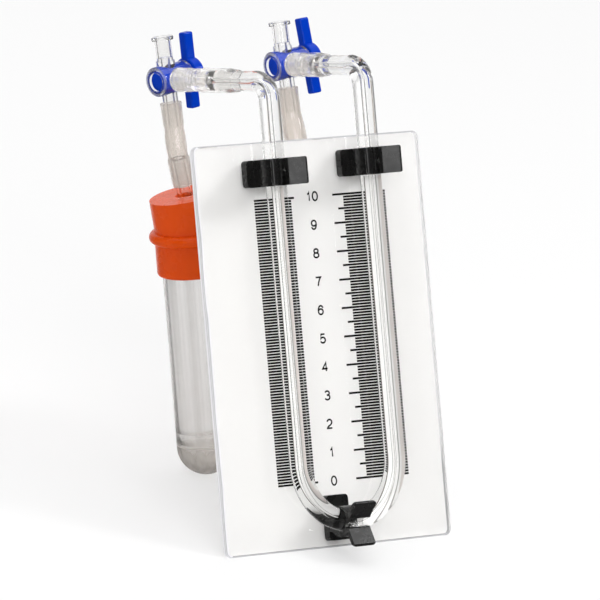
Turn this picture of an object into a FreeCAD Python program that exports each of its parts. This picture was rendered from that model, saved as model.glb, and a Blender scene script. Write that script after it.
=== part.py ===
import FreeCAD, Part
import math
import os

os.makedirs("parts", exist_ok=True)
Vec = FreeCAD.Vector

# All sizes are in millimetres and all angles in degrees.
# The parts are drawn in the frame of the plate: X to the right, Y to the back, Z up the plate,
# zero at the middle of the plate's lower front edge. At the end everything leans back onto the table.

# plate and the printed card behind it
plate_width = 100.0
plate_height = 143.5
plate_thickness = 3.0
plate_corner_radius = 2.5
plate_edge_chamfer = 0.5
card_thickness = 0.4
card_inset = 0.6

# manometer tube
tube_diameter = 7.8
tube_bore = 1.2
arm_diameter = 7.1
leg_spacing = 42.0
tube_centre_x = -1.0
tube_standoff = 8.9
bend_centre_height = 30.0
elbow_rise_left = 20.7
elbow_rise_right = 24.0
elbow_radius = 6.4
arm_reach_left = 27.6
arm_reach_right = 25.6
arm_cone_length = 3.0
arm_pitch_left = 4.9
arm_pitch_right = 4.2
arm_yaw_left = 5.0
arm_yaw_right = -2.0

# snap clips
clip_length = 9.5
clip_base_width = 15.9
clip_base_thickness = 2.8
clip_jaw_wall = 1.6
clip_depth = 17.7
clip_saddle_width = 8.4
clip_neck_gap = 3.0
clip_corner_radius = 1.4
clip_below_top_left = 11.0
clip_below_top_right = 9.6
clip_bottom_x = -2.2
clip_bottom_droop = 9.0
clip_fit = 0.02

# clip screws and nuts
screw_diameter = 3.0
screw_head_diameter = 5.5
screw_head_height = 1.65
screw_head_depth = 4.3
screw_hole_clearance = 0.15
screw_point_reach = 0.8
nut_across_flats = 5.5
nut_height = 2.4

# three-way stopcocks
barrel_diameter = 10.6
barrel_front_reach = 5.65
barrel_back_reach = 8.5
barrel_lip_length = 1.0
barrel_edge_radius = 0.4
barrel_lip_bore = 6.6
plug_diameter = 7.3
plug_clearance = 0.05
plug_bore = 2.4
plug_ridge_height = 0.25
plug_ridge_width = 0.9
plug_ridge_place = 6.8
port_bore = 2.4
luer_height = 15.3
luer_diameter = 5.75
luer_flange_diameter = 7.8
luer_flange_thickness = 1.3
luer_flange_edge_radius = 0.3
luer_socket_diameter = 4.2
luer_socket_depth = 7.5
luer_foot_diameter = 6.6
luer_foot_height = 6.7
drop_port_diameter = 5.4
drop_port_reach = 17.0
side_port_diameter = 4.2
side_port_reach = 14.0
stopcock_roll_left = -8.0
stopcock_roll_right = -6.2

# stopcock handles
handle_hub_diameter = 12.0
handle_thickness = 4.1
handle_bar_width = 3.5
handle_bar_up = 15.0
handle_bar_down = 12.2
handle_edge_radius = 0.7
handle_gap = 0.2
handle_turn_left = 2.0
handle_turn_right = -5.2

# lock collars and hose adapters
collar_diameter = 8.6
collar_start = 5.4
collar_length = 6.3
collar_back_wall = 1.2
collar_edge_radius = 0.5
collar_fit = 0.02
adapter_hub_diameter = 7.0
adapter_body_diameter = 8.2
adapter_ring_depth = 0.35
adapter_ring_pitch = 1.5
adapter_body_right = 3.5
adapter_body_left = 7.5
adapter_barb_length = 4.0
adapter_barb_gap = 1.0
adapter_bore = 2.4

# silicone sleeves
arm_sleeve_wall = 0.8
arm_sleeve_grip_right = 5.2
arm_sleeve_grip_left = 12.3
arm_sleeve_taper = 3.6
arm_sleeve_tip_wall = 0.35
sleeve_fit = 0.02
drop_sleeve_wall = 1.0
drop_sleeve_start = 8.3
drop_sleeve_end = 3.4
drop_sleeve_foot_left = 7.9
drop_sleeve_foot_right = 8.7

# glass stems, stoppers and boiling tubes
stem_diameter = 6.0
stem_bore = 3.0
stem_above = 13.2
stem_below = 24.0
stopper_top_diameter = 26.3
stopper_neck_diameter = 24.3
stopper_neck_depth = 12.2
stopper_ring_depth = 14.6
stopper_ring_radius = 2.1
stopper_ring_diameter = 28.4
stopper_skirt_diameter = 24.6
stopper_height = 28.5
stopper_plug_depth = 21.5
stopper_plug_taper = 0.6
stopper_mouth_diameter = 7.8
stopper_mouth_depth = 1.6
stopper_edge_radius = 1.1
stopper_fit = 0.02
glass_diameter = 20.9
glass_wall = 1.2
glass_rim_depth = 8.5
glass_axis_length = 91.8

# the middle of each stopper's top, measured from its stopcock's middle
stopper_right_of_left = 5.86
stopper_behind_left = 2.87
stopper_below_left = 40.83
stopper_right_of_right = 3.91
stopper_behind_right = 2.74

# directions of the hanging tubes, as shares along X, Y and Z
axis_left = Vec(-0.143, -0.194, 0.970)
top_normal_left = Vec(-0.234, -0.123, 0.964)
axis_right = Vec(-0.110, -0.194, 0.975)

X_AXIS = Vec(1, 0, 0)
Y_AXIS = Vec(0, 1, 0)
Z_AXIS = Vec(0, 0, 1)


def unit(v):
    return v * (1.0 / v.Length)


def rod(diameter, start, end):
    line = end - start
    return Part.makeCylinder(diameter / 2, line.Length, start, line)


def cone(diameter_a, diameter_b, start, end):
    line = end - start
    return Part.makeCone(diameter_a / 2, diameter_b / 2, line.Length, start, line)


def ring_wire(diameter, centre, normal):
    return Part.Wire(Part.makeCircle(diameter / 2, centre, normal))


def rims(shape, diameter):
    """The round edges of a shape that have this diameter."""
    found = []
    for e in shape.Edges:
        if isinstance(e.Curve, Part.Circle) and abs(e.Curve.Radius - diameter / 2) < 1e-6:
            found.append(e)
    return found


def one(shape):
    shape = shape.removeSplitter()
    return shape.Solids[0] if len(shape.Solids) == 1 else shape


def placed(shape, placement):
    return shape.transformed(placement.toMatrix())


def turned(shape, point, axis, angle):
    copy = shape.copy()
    copy.rotate(point, axis, angle)
    return copy


def sweep(path_edges, start_diameter, end_diameter, start, start_dir, end, end_dir):
    """A round bar along the path, with its diameter at each end."""
    shell = Part.BRepOffsetAPI.MakePipeShell(Part.Wire(path_edges))
    shell.setFrenetMode(False)
    shell.add(ring_wire(start_diameter, start, start_dir))
    if abs(end_diameter - start_diameter) > 1e-6:
        shell.add(ring_wire(end_diameter, end, end_dir))
    shell.build()
    shell.makeSolid()
    return shell.shape()


# where the elbows, the stopcocks and the stoppers are
leg_left_x = tube_centre_x - leg_spacing / 2
leg_right_x = tube_centre_x + leg_spacing / 2
elbow_left = Vec(leg_left_x, -tube_standoff, plate_height + elbow_rise_left)
elbow_right = Vec(leg_right_x, -tube_standoff, plate_height + elbow_rise_right)


def arm_rotation(yaw, pitch):
    return FreeCAD.Rotation(Z_AXIS, yaw).multiply(FreeCAD.Rotation(X_AXIS, pitch))


turn_left = arm_rotation(arm_yaw_left, arm_pitch_left)
turn_right = arm_rotation(arm_yaw_right, arm_pitch_right)
arm_dir_left = turn_left.multVec(Y_AXIS)
arm_dir_right = turn_right.multVec(Y_AXIS)


def adapter_places(body_length):
    """Points on the side port's axis, measured from the stopcock's middle."""
    hub_front = Y_AXIS * -(collar_start + collar_back_wall + 0.3)
    body_start = Y_AXIS * -(collar_start + collar_length)
    body_end = body_start - Y_AXIS * body_length
    barb_end = body_end - Y_AXIS * adapter_barb_length
    glass_end = barb_end - Y_AXIS * adapter_barb_gap
    return hub_front, body_start, body_end, barb_end, glass_end


def stopcock_place(elbow, arm_turn, roll, reach, body_length):
    glass_end = adapter_places(body_length)[-1]
    centre = elbow + arm_turn.multVec(Y_AXIS) * (reach - glass_end.y)
    return FreeCAD.Placement(centre, arm_turn.multiply(FreeCAD.Rotation(Y_AXIS, roll)))


stopcock_left = stopcock_place(
    elbow_left, turn_left, stopcock_roll_left, arm_reach_left, adapter_body_left
)
stopcock_right = stopcock_place(
    elbow_right, turn_right, stopcock_roll_right, arm_reach_right, adapter_body_right
)
axis_left = unit(axis_left)
axis_right = unit(axis_right)
top_normal_left = unit(top_normal_left)
top_left = stopcock_left.Base + Vec(stopper_right_of_left, stopper_behind_left, -stopper_below_left)
foot_left = top_left - axis_left * glass_axis_length

# where the table is
foot_radius = glass_diameter / 2
plate_foot_y = plate_thickness - plate_edge_chamfer


def lean_angle():
    """The lean at which the left tube's round bottom and the plate's back edge share one level."""
    low, high = 1.0, 60.0
    for step in range(60):
        mid = math.radians((low + high) / 2)
        tube_low = foot_left.z * math.cos(mid) - foot_left.y * math.sin(mid) - foot_radius
        if tube_low > -plate_foot_y * math.sin(mid):
            low = math.degrees(mid)
        else:
            high = math.degrees(mid)
    return (low + high) / 2


lean = lean_angle()
lean_sin = math.sin(math.radians(lean))
lean_cos = math.cos(math.radians(lean))

# the right tube's bottom is on the same table
foot_right = (
    stopcock_right.Base
    + Vec(stopper_right_of_right, stopper_behind_right, 0)
    - axis_right * glass_axis_length
)
foot_right.z = (foot_radius - plate_foot_y * lean_sin + foot_right.y * lean_sin) / lean_cos
top_right = foot_right + axis_right * glass_axis_length

lean_back = FreeCAD.Placement(Vec(0, 0, 0), FreeCAD.Rotation(X_AXIS, -lean))
pieces = {}


def save(shape, name):
    pieces[name] = placed(shape, lean_back)


# manometer tube
bend_radius = leg_spacing / 2


def elbow_arc(corner, arm_dir):
    """Tangent points and middle point of the bend between a leg and its arm."""
    down = Z_AXIS * -1
    between = down.getAngle(arm_dir)
    tangent = elbow_radius / math.tan(between / 2)
    middle = unit(down + arm_dir)
    centre = corner + middle * (elbow_radius / math.sin(between / 2))
    return corner + down * tangent, centre - middle * elbow_radius, corner + arm_dir * tangent


arc_left = elbow_arc(elbow_left, arm_dir_left)
arc_right = elbow_arc(elbow_right, arm_dir_right)
bend_left = Vec(leg_left_x, -tube_standoff, bend_centre_height)
bend_right = Vec(leg_right_x, -tube_standoff, bend_centre_height)
bend_low = Vec(tube_centre_x, -tube_standoff, bend_centre_height - bend_radius)
arm_end_left = elbow_left + arm_dir_left * arm_reach_left
arm_end_right = elbow_right + arm_dir_right * arm_reach_right


def tube_bar(diameter, arm_end_diameter):
    """The whole bent bar of the manometer, legs at one diameter and arms at another."""
    bars = []
    edges = [
        Part.Arc(arc_left[2], arc_left[1], arc_left[0]).toShape(),
        Part.makeLine(arc_left[0], bend_left),
        Part.Arc(bend_left, bend_low, bend_right).toShape(),
        Part.makeLine(bend_right, arc_right[0]),
        Part.Arc(arc_right[0], arc_right[1], arc_right[2]).toShape(),
    ]
    bars.append(
        sweep(edges, diameter, diameter, arc_left[2], arm_dir_left, arc_right[2], arm_dir_right)
    )
    for start, arm_dir, end in (
        (arc_left[2], arm_dir_left, arm_end_left),
        (arc_right[2], arm_dir_right, arm_end_right),
    ):
        if abs(diameter - arm_end_diameter) > 1e-6:
            shoulder = start + arm_dir * arm_cone_length
            bars.append(cone(diameter, arm_end_diameter, start, shoulder))
            bars.append(rod(arm_end_diameter, shoulder, end))
        else:
            bars.append(rod(diameter, start, end + arm_dir))
    whole_bar = bars[0]
    for bar in bars[1:]:
        whole_bar = whole_bar.fuse(bar)
    return whole_bar


tube_outside = tube_bar(tube_diameter, arm_diameter)
tube_inside = tube_bar(tube_bore, tube_bore)
manometer = one(tube_outside.cut(tube_inside))
save(manometer, "manometer_u_tube")

# plate and card
clip_places = (
    Vec(leg_left_x, 0, plate_height - clip_below_top_left),
    Vec(leg_right_x, 0, plate_height - clip_below_top_right),
    Vec(
        clip_bottom_x,
        0,
        bend_low.z + tube_standoff * math.tan(math.radians(clip_bottom_droop)),
    ),
)
screw_hole = screw_diameter + 2 * screw_hole_clearance


def sheet(width, height, radius, front, back, bottom):
    box = Part.makeBox(width, back - front, height, Vec(-width / 2, front, bottom))
    corners = [e for e in box.Edges if abs(e.tangentAt(e.FirstParameter).y) > 0.9]
    return box.makeFillet(radius, corners)


plate = sheet(plate_width, plate_height, plate_corner_radius, 0, plate_thickness, 0)
front_edges = [
    e
    for e in plate.Edges
    if e.BoundBox.YMax < 1e-3 or e.BoundBox.YMin > plate_thickness - 1e-3
]
plate = plate.makeChamfer(plate_edge_chamfer, front_edges)
card = sheet(
    plate_width - 2 * card_inset,
    plate_height - 2 * card_inset,
    plate_corner_radius - card_inset,
    plate_thickness,
    plate_thickness + card_thickness,
    card_inset,
)
for place in clip_places:
    drill = rod(screw_hole, place - Y_AXIS, place + Y_AXIS * (plate_thickness + card_thickness + 1))
    plate = plate.cut(drill)
    card = card.cut(drill)
save(one(plate), "scale_plate")
save(one(card), "scale_card")

# clips
clip_bore = tube_diameter + 2 * clip_fit
jaw_outside = tube_diameter + 2 * clip_jaw_wall


def front_outline():
    """A block with the rounded outline that a clip has when it is seen from the front."""
    block = Part.makeBox(
        clip_base_width,
        clip_depth * 2,
        clip_length,
        Vec(-clip_base_width / 2, -clip_depth * 2, -clip_length / 2),
    )
    corners = [e for e in block.Edges if e.BoundBox.YLength > clip_depth]
    return block.makeFillet(clip_corner_radius, corners)


def clip_shape(droop):
    """A clip with its base on the plate at the origin and its jaws round a tube along Z."""
    base = Part.makeBox(
        clip_base_width,
        clip_base_thickness,
        clip_length,
        Vec(-clip_base_width / 2, -clip_base_thickness, -clip_length / 2),
    )
    low = Vec(0, 0, -clip_length / 2)
    high = Vec(0, 0, clip_length / 2)
    axis_place = Vec(0, -tube_standoff / math.cos(math.radians(droop)), 0)
    saddle = Part.makeBox(
        clip_saddle_width,
        -axis_place.y - clip_base_thickness / 2,
        clip_length,
        Vec(-clip_saddle_width / 2, axis_place.y, -clip_length / 2),
    )
    jaws = saddle.fuse(rod(jaw_outside, axis_place + low, axis_place + high))
    lip_root_y = axis_place.y - jaw_outside / 2 + clip_jaw_wall / 2
    for side in (-1, 1):
        root = Vec(side * (clip_neck_gap + clip_jaw_wall) / 2, lip_root_y, 0)
        tip = Vec(
            side * (clip_base_width - clip_jaw_wall) / 2,
            -clip_depth + clip_jaw_wall / 2,
            0,
        )
        run = tip - root
        bar = Part.makeBox(
            run.Length,
            clip_jaw_wall,
            clip_length,
            Vec(0, -clip_jaw_wall / 2, -clip_length / 2),
        )
        bar = bar.fuse(rod(clip_jaw_wall, low, high))
        bar = bar.fuse(rod(clip_jaw_wall, low + X_AXIS * run.Length, high + X_AXIS * run.Length))
        bar.rotate(Vec(0, 0, 0), Z_AXIS, math.degrees(math.atan2(run.y, run.x)))
        bar.translate(root)
        jaws = jaws.fuse(bar)
    slot = Part.makeBox(
        clip_neck_gap,
        clip_depth,
        clip_length + 2,
        Vec(-clip_neck_gap / 2, axis_place.y - clip_depth, -clip_length / 2 - 1),
    )
    jaws = jaws.cut(slot).common(front_outline())
    jaws.rotate(Vec(0, 0, 0), Z_AXIS, -droop)
    return base.common(front_outline()).fuse(jaws)


clip_screw_top = -screw_head_depth


def screw_room():
    wide = screw_head_diameter + 2 * screw_hole_clearance
    top = Vec(0, clip_screw_top, 0)
    seat = Vec(0, clip_screw_top + screw_head_height, 0)
    room = rod(wide, top, Vec(0, -tube_standoff, 0))
    room = room.fuse(cone(screw_head_diameter, screw_diameter, top, seat))
    return room.fuse(rod(screw_hole, seat - Y_AXIS * 0.1, Vec(0, 1, 0)))


def upright_clip(place):
    body = clip_shape(0.0)
    body = body.cut(screw_room())
    body.translate(place)
    gauge = rod(clip_bore, bend_left, arc_left[0])
    if place.x > 0:
        gauge = rod(clip_bore, bend_right, arc_right[0])
    return one(body.cut(gauge))


def bottom_clip(place):
    body = clip_shape(clip_bottom_droop)
    body = body.cut(screw_room())
    body.rotate(Vec(0, 0, 0), Y_AXIS, -90)
    body.translate(place)
    gauge = sweep(
        [Part.Arc(bend_left, bend_low, bend_right).toShape()],
        clip_bore, clip_bore, bend_left, Z_AXIS, bend_right, Z_AXIS,
    )
    return one(body.cut(gauge))


save(upright_clip(clip_places[0]), "clip_left")
save(upright_clip(clip_places[1]), "clip_right")
save(bottom_clip(clip_places[2]), "clip_bottom")

# screws and nuts
screws = []
nuts = []
nut_back = plate_thickness + card_thickness + nut_height
for place in clip_places:
    top = place + Vec(0, clip_screw_top, 0)
    seat = top + Y_AXIS * screw_head_height
    point = place + Y_AXIS * (nut_back + screw_point_reach)
    head = cone(screw_head_diameter, screw_diameter, top, seat)
    screw = head.fuse(rod(screw_diameter, seat - Y_AXIS * 0.2, point))
    slot = Part.makeBox(0.8, 0.9, screw_head_diameter, top - Vec(0.4, 0.1, screw_head_diameter / 2))
    screws.append(one(screw.cut(slot)))
    outline = Part.makePolygon(
        [
            Vec(
                nut_across_flats / math.sqrt(3) * math.cos(math.radians(60 * i)),
                0,
                nut_across_flats / math.sqrt(3) * math.sin(math.radians(60 * i)),
            )
            for i in range(7)
        ]
    )
    nut = Part.Face(outline).extrude(Y_AXIS * nut_height)
    nut.translate(place + Y_AXIS * (plate_thickness + card_thickness))
    nuts.append(one(nut.cut(rod(screw_diameter, place, point))))
save(Part.makeCompound(screws), "clip_screws")
save(Part.makeCompound(nuts), "clip_nuts")

# stopcocks, in their own frame: X along the barrel to the handle, Y to the back, Z up the ports
hub_start = barrel_back_reach + handle_gap
plug_front = -barrel_front_reach + barrel_lip_length + handle_gap
plug_room = plug_diameter + 2 * plug_clearance


def stopcock_body():
    front = Vec(-barrel_front_reach, 0, 0)
    back = Vec(barrel_back_reach, 0, 0)
    body = rod(barrel_diameter, front, back)
    body = body.makeFillet(barrel_edge_radius, rims(body, barrel_diameter))
    luer_top = Z_AXIS * luer_height
    body = body.fuse(rod(luer_diameter, Vec(0, 0, 0), luer_top))
    body = body.fuse(rod(luer_foot_diameter, Vec(0, 0, 0), Z_AXIS * luer_foot_height))
    flange = rod(luer_flange_diameter, luer_top - Z_AXIS * luer_flange_thickness, luer_top)
    body = body.fuse(flange.makeFillet(luer_flange_edge_radius, rims(flange, luer_flange_diameter)))
    body = body.fuse(rod(drop_port_diameter, Vec(0, 0, 0), Z_AXIS * -drop_port_reach))
    body = body.fuse(rod(side_port_diameter, Vec(0, 0, 0), Y_AXIS * -side_port_reach))
    body = body.cut(rod(luer_socket_diameter, luer_top - Z_AXIS * luer_socket_depth, luer_top + Z_AXIS))
    body = body.cut(rod(port_bore, Vec(0, 0, 0), luer_top))
    body = body.cut(rod(port_bore, Vec(0, 0, 0), Z_AXIS * -(drop_port_reach + 1)))
    body = body.cut(rod(port_bore, Vec(0, 0, 0), Y_AXIS * -(side_port_reach + 1)))
    body = body.cut(rod(plug_room, Vec(-barrel_front_reach + barrel_lip_length, 0, 0), back + X_AXIS))
    body = body.cut(rod(barrel_lip_bore, front - X_AXIS, back))
    groove_wide = plug_ridge_width + 2 * handle_gap
    groove_start = X_AXIS * (plug_ridge_place - handle_gap)
    groove = rod(
        plug_room + 2 * plug_ridge_height, groove_start, groove_start + X_AXIS * groove_wide
    )
    return one(body.cut(groove))


def stopcock_plug(turn):
    core = rod(plug_diameter, Vec(plug_front, 0, 0), Vec(hub_start + 0.5, 0, 0))
    ridge = rod(
        plug_diameter + 2 * plug_ridge_height,
        X_AXIS * plug_ridge_place,
        X_AXIS * (plug_ridge_place + plug_ridge_width),
    )
    hub = rod(handle_hub_diameter, Vec(hub_start, 0, 0), Vec(hub_start + handle_thickness, 0, 0))
    bar = Part.makeBox(
        handle_thickness,
        handle_bar_width,
        handle_bar_up + handle_bar_down,
        Vec(hub_start, -handle_bar_width / 2, -handle_bar_down),
    )
    bar = bar.makeFillet(handle_edge_radius, bar.Edges)
    hub = hub.makeFillet(handle_edge_radius, rims(hub, handle_hub_diameter))
    plug = core.fuse(ridge).fuse(hub).fuse(bar)
    plug = plug.cut(rod(plug_bore, Z_AXIS * -plug_diameter, Z_AXIS * plug_diameter))
    plug = plug.cut(rod(plug_bore, Vec(0, 0, 0), Y_AXIS * -plug_diameter))
    return turned(one(plug), Vec(0, 0, 0), X_AXIS, turn)


def lock_collar():
    start = Y_AXIS * -collar_start
    wall = Y_AXIS * -(collar_start + collar_back_wall)
    end = Y_AXIS * -(collar_start + collar_length)
    body = rod(collar_diameter, start, end)
    back_rim = [e for e in rims(body, collar_diameter) if abs(e.CenterOfMass.y - start.y) < 1e-3]
    body = body.makeFillet(collar_edge_radius, back_rim)
    body = body.cut(rod(adapter_hub_diameter + 2 * collar_fit, wall, end - Y_AXIS))
    return one(body.cut(rod(side_port_diameter + 2 * collar_fit, start + Y_AXIS, end)))


def hose_adapter(body_length):
    """The hub inside the collar, a ringed body outside it, and the barb in the sleeve."""
    hub_front, body_start, body_end, barb_end, glass_end = adapter_places(body_length)
    body = rod(adapter_hub_diameter, hub_front, body_start)
    body = body.fuse(rod(adapter_body_diameter, body_start, body_end))
    body = body.fuse(rod(arm_diameter, body_end, barb_end))
    count = int((body_length - 1.0) / adapter_ring_pitch)
    for i in range(count):
        low = body_start - Y_AXIS * (0.6 + i * adapter_ring_pitch)
        high = low - Y_AXIS * (adapter_ring_pitch * 0.45)
        outer = rod(adapter_body_diameter + 1, low, high)
        inner = rod(adapter_body_diameter - 2 * adapter_ring_depth, low + Y_AXIS, high - Y_AXIS)
        body = body.cut(outer.cut(inner))
    socket_end = Y_AXIS * -(side_port_reach + 0.3)
    body = body.cut(rod(side_port_diameter + 2 * collar_fit, hub_front + Y_AXIS, socket_end))
    return one(body.cut(rod(adapter_bore, hub_front, barb_end - Y_AXIS)))


def arm_sleeve(body_length, grip):
    body_end, glass_end = adapter_places(body_length)[2], adapter_places(body_length)[4]
    end = glass_end - Y_AXIS * grip
    inside = arm_diameter + 2 * sleeve_fit
    outside = inside + 2 * arm_sleeve_wall
    taper_start = end + Y_AXIS * arm_sleeve_taper
    body = rod(outside, body_end, taper_start)
    body = body.fuse(cone(outside, inside + 2 * arm_sleeve_tip_wall, taper_start, end))
    return one(body.cut(rod(inside, body_end + Y_AXIS, end - Y_AXIS)))


def drop_sleeve(local, top, normal, end_diameter):
    """The silicone tube from the lower port to the glass stem, bent as it hangs."""
    down = local.Rotation.multVec(Z_AXIS) * -1
    centre = local.Base
    start = centre + down * drop_sleeve_start
    port_tip = centre + down * drop_port_reach
    stem_top = top + normal * stem_above
    end = top + normal * drop_sleeve_end
    curve = Part.BSplineCurve()
    curve.interpolate(Points=[port_tip, stem_top], InitialTangent=down, FinalTangent=normal * -1)
    path = [curve.toShape()]
    outer_top = drop_port_diameter + 2 * drop_sleeve_wall
    inner_top = drop_port_diameter + 2 * sleeve_fit
    inner_low = stem_diameter + 2 * sleeve_fit
    outer = rod(outer_top, start, port_tip)
    outer = outer.fuse(sweep(path, outer_top, end_diameter, port_tip, down, stem_top, normal * -1))
    outer = outer.fuse(rod(end_diameter, stem_top, end))
    inner = rod(inner_top, start - down, port_tip)
    inner = inner.fuse(sweep(path, inner_top, inner_low, port_tip, down, stem_top, normal * -1))
    inner = inner.fuse(rod(inner_low, stem_top, end - normal))
    return one(outer.cut(inner))


def glass_stem(top, normal):
    high = top + normal * stem_above
    low = top - normal * stem_below
    return one(rod(stem_diameter, low, high).cut(rod(stem_bore, low - normal, high + normal)))


def revolved(points, centre, axis):
    """A turned solid: points are (radius, height) pairs round the axis through the centre."""
    outline = Part.makePolygon([Vec(r, 0, h) for r, h in points + points[:1]])
    solid = Part.Face(outline).revolve(Vec(0, 0, 0), Z_AXIS, 360)
    place = FreeCAD.Placement(centre, FreeCAD.Rotation(Z_AXIS, axis))
    return placed(solid, place)


def stopper(top, axis, normal):
    neck_centre = top - axis * stopper_neck_depth
    upper = Part.makeLoft(
        [
            ring_wire(stopper_neck_diameter, neck_centre, axis),
            ring_wire(stopper_top_diameter, top, normal),
        ],
        True,
        True,
    )
    skirt_end = top - axis * stopper_height
    bead_centre = top - axis * stopper_ring_depth
    skirt = rod(stopper_skirt_diameter, skirt_end, bead_centre)
    skirt = skirt.makeFillet(
        stopper_edge_radius,
        [e for e in rims(skirt, stopper_skirt_diameter) if (e.CenterOfMass - skirt_end).Length < 0.1],
    )
    waist = rod(stopper_neck_diameter, bead_centre, neck_centre)
    bead_track = stopper_ring_diameter / 2 - stopper_ring_radius
    bead = Part.makeTorus(bead_track, stopper_ring_radius, bead_centre, axis)
    body = upper.fuse(waist).fuse(skirt).fuse(bead)
    room_outside = glass_diameter + 2 * stopper_fit
    room_inside = glass_diameter - 2 * glass_wall - 2 * stopper_fit
    room = revolved(
        [
            (room_inside / 2, -glass_rim_depth + stopper_fit),
            (room_outside / 2, -glass_rim_depth + stopper_fit),
            (room_outside / 2, -stopper_height - 1),
            (0, -stopper_height - 1),
            (0, -stopper_plug_depth),
            (room_inside / 2 - stopper_plug_taper, -stopper_plug_depth),
        ],
        top,
        axis,
    )
    body = body.cut(room)
    body = body.cut(rod(stem_diameter, top - normal * stopper_height, top + normal * 5))
    mouth = cone(
        stem_diameter,
        stopper_mouth_diameter + 0.5,
        top - normal * stopper_mouth_depth,
        top + normal * 0.4,
    )
    return one(body.cut(mouth))


def boiling_tube(foot, axis):
    rim = foot + axis * (glass_axis_length - glass_rim_depth)
    outside = rod(glass_diameter, foot, rim).fuse(Part.makeSphere(glass_diameter / 2, foot))
    inner = glass_diameter - 2 * glass_wall
    inside = rod(inner, foot, rim + axis).fuse(Part.makeSphere(inner / 2, foot))
    return one(outside.cut(inside))


def build_side(side, local, turn, body_length, grip, top, axis, normal, foot, foot_diameter):
    save(placed(stopcock_body(), local), "stopcock_body_" + side)
    save(placed(stopcock_plug(turn), local), "stopcock_plug_" + side)
    save(placed(lock_collar(), local), "lock_collar_" + side)
    save(placed(hose_adapter(body_length), local), "hose_adapter_" + side)
    save(placed(arm_sleeve(body_length, grip), local), "arm_sleeve_" + side)
    save(drop_sleeve(local, top, normal, foot_diameter), "drop_sleeve_" + side)
    save(glass_stem(top, normal), "glass_stem_" + side)
    save(stopper(top, axis, normal), "stopper_" + side)
    save(boiling_tube(foot, axis), "boiling_tube_" + side)


build_side(
    "left", stopcock_left, handle_turn_left, adapter_body_left, arm_sleeve_grip_left,
    top_left, axis_left, top_normal_left, foot_left, drop_sleeve_foot_left,
)
build_side(
    "right", stopcock_right, handle_turn_right, adapter_body_right, arm_sleeve_grip_right,
    top_right, axis_right, axis_right, foot_right, drop_sleeve_foot_right,
)

# the origin is on the table, under the middle of the whole apparatus
whole = Part.makeCompound(list(pieces.values())).optimalBoundingBox(False)
to_origin = Vec(0, -(whole.YMin + whole.YMax) / 2, -whole.ZMin)
for name in pieces:
    final = pieces[name]
    final.translate(to_origin)
    print(name, "solids", len(final.Solids), "valid", final.isValid(), "volume", round(final.Volume, 1))
    final.exportStep("parts/" + name + ".step")

print("lean", round(lean, 4), "origin shift", to_origin)
for name, local in (("left", stopcock_left), ("right", stopcock_right)):
    centre = lean_back.multVec(local.Base) + to_origin
    turn = lean_back.Rotation.multiply(local.Rotation)
    print(name, "stopcock centre", centre, "barrel", turn.multVec(X_AXIS), "port", turn.multVec(Z_AXIS))
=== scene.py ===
import math
import bpy
from mathutils import Matrix, Vector

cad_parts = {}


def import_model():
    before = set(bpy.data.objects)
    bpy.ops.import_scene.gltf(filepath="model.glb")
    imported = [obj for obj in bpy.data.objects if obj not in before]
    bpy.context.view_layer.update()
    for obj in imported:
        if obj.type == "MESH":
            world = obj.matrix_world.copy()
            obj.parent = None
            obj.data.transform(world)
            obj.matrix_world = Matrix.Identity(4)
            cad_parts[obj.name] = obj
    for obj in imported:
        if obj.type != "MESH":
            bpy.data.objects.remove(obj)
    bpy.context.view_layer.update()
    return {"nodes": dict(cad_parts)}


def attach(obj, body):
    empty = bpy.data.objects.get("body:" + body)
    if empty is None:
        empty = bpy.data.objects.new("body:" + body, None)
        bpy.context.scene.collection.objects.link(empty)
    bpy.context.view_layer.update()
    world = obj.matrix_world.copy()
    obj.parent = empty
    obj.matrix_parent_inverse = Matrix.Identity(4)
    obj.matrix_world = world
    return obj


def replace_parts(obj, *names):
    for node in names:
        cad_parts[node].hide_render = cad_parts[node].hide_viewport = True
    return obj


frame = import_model()

# Millimetres in the plate's frame: X right, Y back, Z up, zero at the middle of its lower front edge.
LEAN = math.radians(24.1749)
SHIFT_Y = -50.7896
SHIFT_Z = 1.02381


def turn(v):
    c, s = math.cos(LEAN), math.sin(LEAN)
    return Vector((v[0], v[1] * c + v[2] * s, -v[1] * s + v[2] * c))


def world(v):
    """Millimetres in the plate's frame to metres on the table, leaning back."""
    return (turn(v) + Vector((0, SHIFT_Y, SHIFT_Z))) * 0.001


def plate_frame(p):
    """The inverse of world: metres back to millimetres in the frame of the plate."""
    c, s = math.cos(LEAN), math.sin(LEAN)
    x, y, z = p[0] * 1000, p[1] * 1000 - SHIFT_Y, p[2] * 1000 - SHIFT_Z
    return Vector((x, y * c - z * s, y * s + z * c))


# node helpers
NOISE_LOW, NOISE_HIGH = 0.3, 0.7
INSIDE_COLOUR = (0.12, 0.1, 0.06, 1)
STREAK_SCALE, STREAK_STRETCH = 330.0, (1, 1, 0.012)
RING_LEVEL, RING_HALF, RING_MILK = 0.0012, 0.00016, 0.4


def new_material(name):
    m = bpy.data.materials.new(name)
    m.use_nodes = True
    m.node_tree.nodes.clear()
    return m, m.node_tree.nodes, m.node_tree.links


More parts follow.
